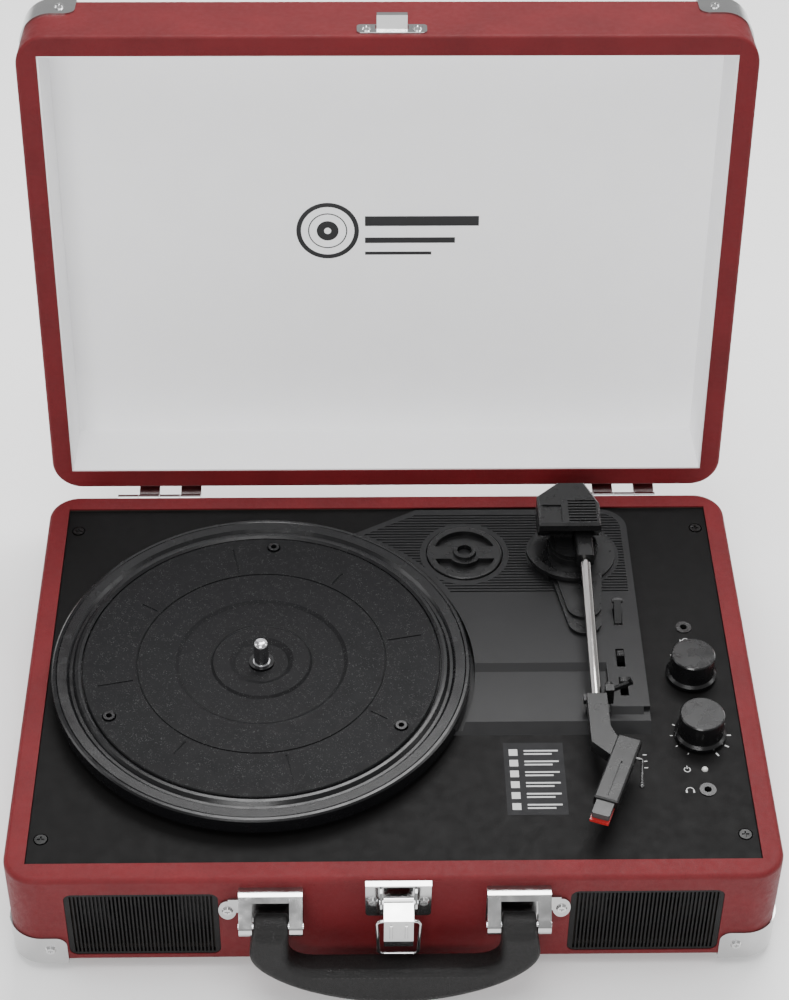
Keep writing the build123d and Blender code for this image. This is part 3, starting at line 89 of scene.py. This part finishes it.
world = bpy.data.worlds.new("studio")
world.use_nodes = True
world.node_tree.nodes["Background"].inputs["Color"].default_value = (1, 1, 1, 1)
world.node_tree.nodes["Background"].inputs["Strength"].default_value = 0.55
bpy.context.scene.world = world


# ---------------- material kit ----------------

def new_material(name):
    material = bpy.data.materials.new(name)
    material.use_nodes = True
    return material, material.node_tree, material.node_tree.nodes["Principled BSDF"]


def add_node(tree, kind, **values):
    node = tree.nodes.new(kind)
    for key, value in values.items():
        setattr(node, key, value)
    return node


def object_space(tree):
    return add_node(tree, "ShaderNodeTexCoord").outputs["Object"]


def noise(tree, scale, detail=3.0, rough=0.5, stretch=(1, 1, 1)):
    """A noise field in object space; scale is in features per metre."""
    mapping = add_node(tree, "ShaderNodeMapping")
    mapping.inputs["Scale"].default_value = stretch
    tree.links.new(object_space(tree), mapping.inputs["Vector"])
    field = add_node(tree, "ShaderNodeTexNoise")
    field.inputs["Scale"].default_value = scale
    field.inputs["Detail"].default_value = detail
    field.inputs["Roughness"].default_value = rough
    tree.links.new(mapping.outputs["Vector"], field.inputs["Vector"])
    return field.outputs["Fac"]


def cells(tree, scale, feature="DISTANCE_TO_EDGE"):
    field = add_node(tree, "ShaderNodeTexVoronoi", feature=feature)
    field.inputs["Scale"].default_value = scale
    tree.links.new(object_space(tree), field.inputs["Vector"])
    return field.outputs["Distance"]


def ramp(tree, source, low, high, low_at=0.3, high_at=0.7):
    """Maps a field onto a range of greys or colours."""
    node = add_node(tree, "ShaderNodeValToRGB")
    for element, at, value in zip(node.color_ramp.elements, (low_at, high_at), (low, high)):
        element.position = at
        grey = isinstance(value, (int, float))
        element.color = (value, value, value, 1) if grey else (*value, 1)
    tree.links.new(source, node.inputs["Fac"])
    return node.outputs["Color"]


def bump(tree, shader, height, distance, strength=1.0, below=None):
    node = add_node(tree, "ShaderNodeBump")
    node.inputs["Strength"].default_value = strength
    node.inputs["Distance"].default_value = distance
    tree.links.new(height, node.inputs["Height"])
    if below:
        tree.links.new(below, node.inputs["Normal"])
    tree.links.new(node.outputs["Normal"], shader.inputs["Normal"])
    return node.outputs["Normal"]


def shade(colour, factor):
    return tuple(min(channel * factor, 1.0) for channel in colour)


def plastic(name, colour, rough, grain=0.00002, grain_scale=1800, spread=0.12, coat=0.0, specular=0.5):
    """Moulded plastic: fine spark texture, slightly uneven tone and gloss."""
    material, tree, shader = new_material(name)
    tone = ramp(tree, noise(tree, 45), shade(colour, 1 - spread), shade(colour, 1 + spread))
    tree.links.new(tone, shader.inputs["Base Color"])
    gloss = ramp(tree, noise(tree, 160, 4), max(rough - 0.06, 0.02), rough + 0.06)
    tree.links.new(gloss, shader.inputs["Roughness"])
    shader.inputs["Specular IOR Level"].default_value = specular
    shader.inputs["Coat Weight"].default_value = coat
    shader.inputs["Coat Roughness"].default_value = 0.08
    bump(tree, shader, noise(tree, grain_scale, 2), grain)
    return material


def metal(name, colour, rough, streak=(1, 1, 1), scale=900, depth=0.000004):
    """Polished or turned metal with faint wear and, if stretched, a brushed direction."""
    material, tree, shader = new_material(name)
    shader.inputs["Metallic"].default_value = 1.0
    tone = ramp(tree, noise(tree, 60), shade(colour, 0.93), shade(colour, 1.05))
    tree.links.new(tone, shader.inputs["Base Color"])
    gloss = ramp(tree, noise(tree, 240, 5), rough * 0.7, rough * 1.4)
    tree.links.new(gloss, shader.inputs["Roughness"])
    bump(tree, shader, noise(tree, scale, 3, 0.6, streak), depth)
    return material


def leather(name, colour, rough, cell_scale, depth, sheen=0.0):
    """Leatherette or leather: small closed cells over a soft waviness, with painted shade darkening the creases
    between the cells.
    """
    material, tree, shader = new_material(name)
    edges = cells(tree, cell_scale)
    # painted shade: the colour drops to 62% along the cell edges, where the grain's creases sink in
    painted_crease_shade = ramp(tree, edges, shade(colour, 0.62), colour, 0.0, 0.22)
    patches = ramp(tree, noise(tree, 38, 4), 0.86, 1.1)
    mix = add_node(tree, "ShaderNodeMix", data_type="RGBA", blend_type="MULTIPLY")
    mix.inputs["Factor"].default_value = 1.0
    tree.links.new(painted_crease_shade, mix.inputs["A"])
    tree.links.new(patches, mix.inputs["B"])
    tree.links.new(mix.outputs["Result"], shader.inputs["Base Color"])
    gloss = ramp(tree, noise(tree, 320, 3), rough - 0.08, rough + 0.08)
    tree.links.new(gloss, shader.inputs["Roughness"])
    shader.inputs["Sheen Weight"].default_value = sheen
    shader.inputs["Specular IOR Level"].default_value = 0.22
    waviness = bump(tree, shader, noise(tree, 260, 3), depth * 0.8)
    bump(tree, shader, ramp(tree, edges, 0.0, 1.0, 0.0, 0.3), depth, below=waviness)
    return material


def use(material, *names):
    """Puts a material on every slot of the named CAD nodes."""
    for name in names:
        for slot in nodes[name].material_slots:
            slot.material = material


# ---------------- materials of the CAD nodes ----------------

RED = (0.135, 0.0075, 0.0105)
red_leatherette = leather("red_leatherette", RED, 0.55, 2400, 0.00004)
use(red_leatherette, "base_leatherette", "lid_leatherette")

# painted shade: the base boards are near black so the wood seen through the speaker openings reads as shade;
# their own colour is not seen
shade_dark_board = plastic("case_board", (0.02, 0.017, 0.015), 0.85, grain=0.0001, grain_scale=500, spread=0.2, specular=0.1)
use(shade_dark_board, "base_frame", "bottom_board")
pale_board = plastic("lid_board", (0.48, 0.36, 0.24), 0.8, grain=0.0001, grain_scale=500, spread=0.2)
use(pale_board, "lid_frame")
use(plastic("white_liner", (0.93, 0.93, 0.94), 0.65, grain=0.00001, grain_scale=900, spread=0.01), "lid_liner")

chrome = metal("chrome", (0.50, 0.50, 0.50), 0.12)
use(chrome, "base_corner_guards", "lid_corner_guards", "latch_plate", "latch_lever", "latch_bail",
    "lid_catch", "hinge_base_leaves", "hinge_lid_leaves", "handle_bracket_left", "handle_bracket_right")
use(metal("trim_screws", (0.62, 0.62, 0.62), 0.16), "base_trim_screws", "lid_trim_screws")
use(metal("turned_steel", (0.62, 0.62, 0.63), 0.14), "pivot_pins", "spindle")
use(metal("brass", (0.70, 0.50, 0.22), 0.25), "spindle_bush", "motor_pulley")
use(metal("plated_steel", (0.50, 0.50, 0.50), 0.35), "motor", "rotary_controls")
use(metal("nickel", (0.66, 0.64, 0.60), 0.2), "rear_jacks")
use(metal("arm_metal", (0.42, 0.41, 0.40), 0.10), "arm_tube")
use(metal("finger_steel", (0.10, 0.10, 0.10), 0.25), "finger_lift")

use(plastic("chassis_plastic", (0.0085, 0.0085, 0.009), 0.40, spread=0.05, specular=0.2), "mechanism_chassis")
use(plastic("platter_plastic", (0.004, 0.004, 0.0045), 0.24, spread=0.05, specular=0.3), "platter")
use(plastic("belt_rubber", (0.02, 0.02, 0.02), 0.7), "drive_belt")
use(plastic("feet_rubber", (0.025, 0.025, 0.025), 0.75), "rubber_feet")
use(plastic("black_plastic", (0.005, 0.005, 0.0052), 0.30, spread=0.06, specular=0.3), "adapter_45",
    "tonearm_base", "tonearm_turret", "arm_root", "headshell", "arm_rest", "arm_clip", "cue_lever", "cue_lift",
    "auto_stop_switch", "speed_switch")
use(plastic("grille_plastic", (0.0045, 0.004, 0.004), 0.45, specular=0.15), "speaker_grille_left",
    "speaker_grille_right")
cone_paper = plastic("cone_paper", (0.012, 0.012, 0.012), 0.85, grain=0.0001, grain_scale=700, specular=0.1)
use(cone_paper, "speaker_cones")
use(metal("speaker_steel", (0.05, 0.05, 0.05), 0.5), "speaker_left", "speaker_right")
use(plastic("cartridge_plastic", (0.03, 0.03, 0.03), 0.45), "cartridge")
use(plastic("red_plastic", (0.25, 0.010, 0.010), 0.25), "stylus")
use(plastic("knob_plastic", (0.004, 0.004, 0.0043), 0.28, coat=0.1, specular=0.3), "mode_knob", "volume_knob")
use(plastic("jack_plastic", (0.010, 0.010, 0.010), 0.25), "audio_jacks", "rear_jack_panel")
use(plastic("circuit_board", (0.02, 0.10, 0.04), 0.4), "control_board")
use(plastic("led_lens", (0.50, 0.50, 0.48), 0.2), "power_led")
use(metal("black_screws", (0.03, 0.03, 0.03), 0.3), "deck_screws", "foot_screws")


def sparkling(name, colour, rough, scale, size, glint):
    """Black moulding with painted glints: a scatter of fine pale specks in the base colour stands in for the
    sparkle that light picks out on cast rubber and spark-textured plastic.
    """
    material, tree, shader = new_material(name)
    # painted glints: pale specks, gathered into patches, added on top of the moulding's own colour
    painted_glints = ramp(tree, cells(tree, scale, "F1"), glint, 0.0, size * 0.5, size)
    patches = ramp(tree, noise(tree, 500, 3), 0.0, 1.0, 0.45, 0.62)
    both = add_node(tree, "ShaderNodeMix", data_type="RGBA", blend_type="MULTIPLY")
    both.inputs["Factor"].default_value = 1.0
    tree.links.new(painted_glints, both.inputs["A"])
    tree.links.new(patches, both.inputs["B"])
    total = add_node(tree, "ShaderNodeMix", data_type="RGBA", blend_type="ADD")
    total.inputs["Factor"].default_value = 1.0
    tree.links.new(both.outputs["Result"], total.inputs["A"])
    total.inputs["B"].default_value = (*colour, 1)
    tree.links.new(total.outputs["Result"], shader.inputs["Base Color"])
    tree.links.new(ramp(tree, noise(tree, 160, 4), rough - 0.06, rough + 0.06), shader.inputs["Roughness"])
    shader.inputs["Specular IOR Level"].default_value = 0.10
    bump(tree, shader, noise(tree, 1500, 2), 0.00003)
    return material


# the mat and the deck get painted glints in their base colour
use(sparkling("mat_rubber", (0.0055, 0.0055, 0.006), 0.55, 1400, 0.35, 0.045), "platter_mat")
use(sparkling("deck_plastic", (0.0035, 0.0033, 0.0033), 0.55, 1500, 0.2, 0.006), "deck_plate")


# ---------------- padded leather handle ----------------

SKIN_VOXEL = 0.0008
SOFTEN_ROUNDS = 8
handle_node = nodes["handle"]
handle = bpy.data.objects.new("leather_handle", handle_node.data.copy())
bpy.context.scene.collection.objects.link(handle)
handle.matrix_world = handle_node.matrix_world.copy()
remesh = handle.modifiers.new("skin", "REMESH")
remesh.mode = "VOXEL"
remesh.voxel_size = SKIN_VOXEL
remesh.use_smooth_shade = True
soften = handle.modifiers.new("stuffing", "SMOOTH")
soften.factor = 0.5
soften.iterations = SOFTEN_ROUNDS
handle.data.materials.clear()
handle_leather = leather("handle_leather", (0.0075, 0.0070, 0.0070), 0.40, 1700, 0.00010, sheen=0.02)
handle.data.materials.append(handle_leather)
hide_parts("handle")
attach(handle, "handle_loop")

TILT = radians(14)
STITCH_OUT = 7.35
STITCH_STEP = 2.5
STITCH_COUNT = 37
STITCH_HALF_SPAN = 45
STITCH_LENGTH = 0.85
STITCH_R = 0.3
STITCH_FLATTEN = 0.6
UPPER_REACH = 23.8
UPPER_HALF_SPAN = 38
hang_out = Vector((0, -cos(TILT), sin(TILT)))
hang_down = Vector((0, -sin(TILT), -cos(TILT)))
handle_pins = Vector((0, -138.0, 43.5))


def hung(x, reach, out):
    """A point on the hanging handle: across, down from its pins, and out from its middle plane."""
    return (Vector((x, 0, 0)) + handle_pins + hang_down * reach + hang_out * out) * MM


def stitch_row(name, points):
    """A row of flattened beads of thread, each lying along the line between two points."""
    shape = Matrix.Diagonal((STITCH_LENGTH / STITCH_R, 1, STITCH_FLATTEN, 1))
    mesh = bmesh.new()
    for (x, reach), (next_x, next_reach) in zip(points, points[1:]):
        start = hung(x, reach, STITCH_OUT)
        end = hung(next_x, next_reach, STITCH_OUT)
        along = (end - start).normalized()
        turned = along.to_track_quat("X", "Z").to_matrix().to_4x4()
        place = Matrix.Translation((start + end) / 2) @ turned @ shape
        bmesh.ops.create_uvsphere(mesh, u_segments=8, v_segments=6, radius=STITCH_R * MM, matrix=place)
    data = bpy.data.meshes.new(name)
    mesh.to_mesh(data)
    mesh.free()
    row = bpy.data.objects.new(name, data)
    bpy.context.scene.collection.objects.link(row)
    data.materials.append(thread)
    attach(row, "handle_loop")
    return row


thread = plastic("handle_thread", (0.015, 0.014, 0.014), 0.6, grain=0.00004)
lower = []
upper = []
for step in range(STITCH_COUNT):
    x = -STITCH_HALF_SPAN + STITCH_STEP * step
    lower.append((x, 36.0 - 8.6 * (abs(x) / 46) ** 2.0))
    if abs(x) <= UPPER_HALF_SPAN:
        upper.append((x, UPPER_REACH))
stitch_row("lower_stitches", lower)
stitch_row("upper_stitches", upper)


# ---------------- printed marks ----------------

DECK_TOP = 61.5
PRINT_LIFT = 0.03
CONTROL_X = 145.2
MODE_Y = -3.0
VOLUME_Y = -42.0
ICON_X = 137.0
LAMP_Y = -63.3
PHONES_Y = -76.0
CARD_PLACE = (66, -68)
CARD_ROW = 6.6
print_grey = plastic("print_grey", (0.42, 0.42, 0.42), 0.6, grain=0.000003, spread=0.04)
card_grey = plastic("card_grey", (0.012, 0.012, 0.013), 0.5, grain=0.000003, spread=0.04, specular=0.1)
print_dark = plastic("print_dark", (0.008, 0.008, 0.009), 0.5, grain=0.000003, spread=0.04)


def flat_print(name, shapes, material, body, place):
    """Thin printed shapes, each a list of corners in mm, put down by the given matrix in metres."""
    mesh = bmesh.new()
    for corners in shapes:
        mesh.faces.new([mesh.verts.new((x * MM, y * MM, 0)) for x, y in corners])
    data = bpy.data.meshes.new(name)
    mesh.to_mesh(data)
    mesh.free()
    mark = bpy.data.objects.new(name, data)
    bpy.context.scene.collection.objects.link(mark)
    mark.matrix_world = place
    data.materials.append(material)
    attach(mark, body)
    return mark


def box_mark(x, y, width, height):
    return [(x - width / 2, y - height / 2), (x + width / 2, y - height / 2),
            (x + width / 2, y + height / 2), (x - width / 2, y + height / 2)]


def arc_mark(x, y, inner, outer, start, stop, parts=24):
    """Short quads that follow a circle from one angle to another, in degrees."""
    quads = []
    for part in range(parts):
        first = radians(start + (stop - start) * part / parts)
        last = radians(start + (stop - start) * (part + 1) / parts)
        quads.append([(x + radius * cos(turned), y + radius * sin(turned))
                      for radius, turned in ((inner, first), (outer, first), (outer, last), (inner, last))])
    return quads


def tick(x, y, inner, outer, angle, width):
    out = (cos(radians(angle)), sin(radians(angle)))
    side = (-out[1] * width / 2, out[0] * width / 2)
    return [(x + out[0] * inner + side[0], y + out[1] * inner + side[1]),
            (x + out[0] * outer + side[0], y + out[1] * outer + side[1]),
            (x + out[0] * outer - side[0], y + out[1] * outer - side[1]),
            (x + out[0] * inner - side[0], y + out[1] * inner - side[1])]


deck_marks = []
# line in: a ring with an arrow
deck_marks += arc_mark(CONTROL_X, 20.6, 1.3, 1.7, 0, 360)
deck_marks.append([(142.4, 19.6), (143.6, 20.6), (142.4, 21.6)])
# mode knob: three positions
for angle in (60, 90, 120):
    deck_marks.append(tick(CONTROL_X, MODE_Y, 13.4, 16.4, angle, 0.8))
# volume knob: a dial that widens from low to high
for count in range(11):
    angle = 240 - 30 * count
    deck_marks.append(tick(CONTROL_X, VOLUME_Y, 12.8, 13.8 + 0.12 * count, angle, 0.4 + 0.04 * count))
# power: ring and bar; headphones: a band and two cups
deck_marks += arc_mark(ICON_X, LAMP_Y, 1.2, 1.6, 120, 420)
deck_marks.append(box_mark(ICON_X, LAMP_Y + 1.4, 0.4, 1.8))
deck_marks += arc_mark(ICON_X, PHONES_Y, 1.5, 1.9, 0, 180)
deck_marks.append(box_mark(ICON_X - 1.7, PHONES_Y - 0.7, 0.8, 1.5))
deck_marks.append(box_mark(ICON_X + 1.7, PHONES_Y - 0.7, 0.8, 1.5))
# three bars near the headshell, where the deck names the auto stop's positions
for count in range(3):
    deck_marks.append(box_mark(118.0, -62.0 + 4.0 * count, 1.8, 0.5))
deck_face = Matrix.Translation(Vector((0, 0, DECK_TOP + PRINT_LIFT)) * MM)
flat_print("deck_marks", deck_marks, print_grey, "case", deck_face)

# a small dark card with plain squares and bars
card_place = Matrix.Translation(Vector((*CARD_PLACE, DECK_TOP + PRINT_LIFT)) * MM)
flat_print("care_card", [box_mark(0, 0, 28, 44)], card_grey, "case", card_place)
card_bars = []
for count in range(6):
    card_bars.append(box_mark(3.5, 17 - CARD_ROW * count, 16, 0.9))
    card_bars.append(box_mark(2.0, 15 - CARD_ROW * count, 13, 0.9))
    card_bars.append(box_mark(-9.5, 16 - CARD_ROW * count, 4, 4))
card_lift = Matrix.Translation(Vector((0, 0, PRINT_LIFT)) * MM)
flat_print("care_card_bars", card_bars, print_grey, "case", card_lift @ card_place)

# a plain record disc with three bars in the middle of the lid's liner
LID_LEAN = radians(7)
face_up = Vector((0, sin(LID_LEAN), cos(LID_LEAN)))
face_out = Vector((0, -cos(LID_LEAN), sin(LID_LEAN)))
LINER_MIDDLE = (0, 192.0, 181.6)
LID_PRINT_LIFT = 0.05
middle = Vector(LINER_MIDDLE) * MM + face_out * LID_PRINT_LIFT * MM
lid_face = Matrix.Translation(middle) @ Matrix((Vector((1, 0, 0)), face_up, face_out)).transposed().to_4x4()
lid_marks = arc_mark(-30, 4, 13.6, 16.0, 0, 360, 48) + arc_mark(-30, 4, 9.4, 10.0, 0, 360, 36)
lid_marks += arc_mark(-30, 4, 1.8, 5.6, 0, 360, 24)
lid_marks += [box_mark(18, 9.5, 58, 5.6), box_mark(12, -1.5, 46, 3.2), box_mark(6, -9.0, 34, 1.8)]
flat_print("lid_mark", lid_marks, print_dark, "lid", lid_face)


# ---------------- floor ----------------

FLOOR_HALF = 6.0
floor_mesh = bpy.data.meshes.new("floor")
half = FLOOR_HALF
corners = [(-half, -half, 0), (half, -half, 0), (half, half, 0), (-half, half, 0)]
floor_mesh.from_pydata(corners, [], [(0, 1, 2, 3)])
floor = bpy.data.objects.new("floor", floor_mesh)
bpy.context.scene.collection.objects.link(floor)
floor_mesh.materials.append(plastic("floor_paper", (0.95, 0.95, 0.95), 0.8, spread=0.005))
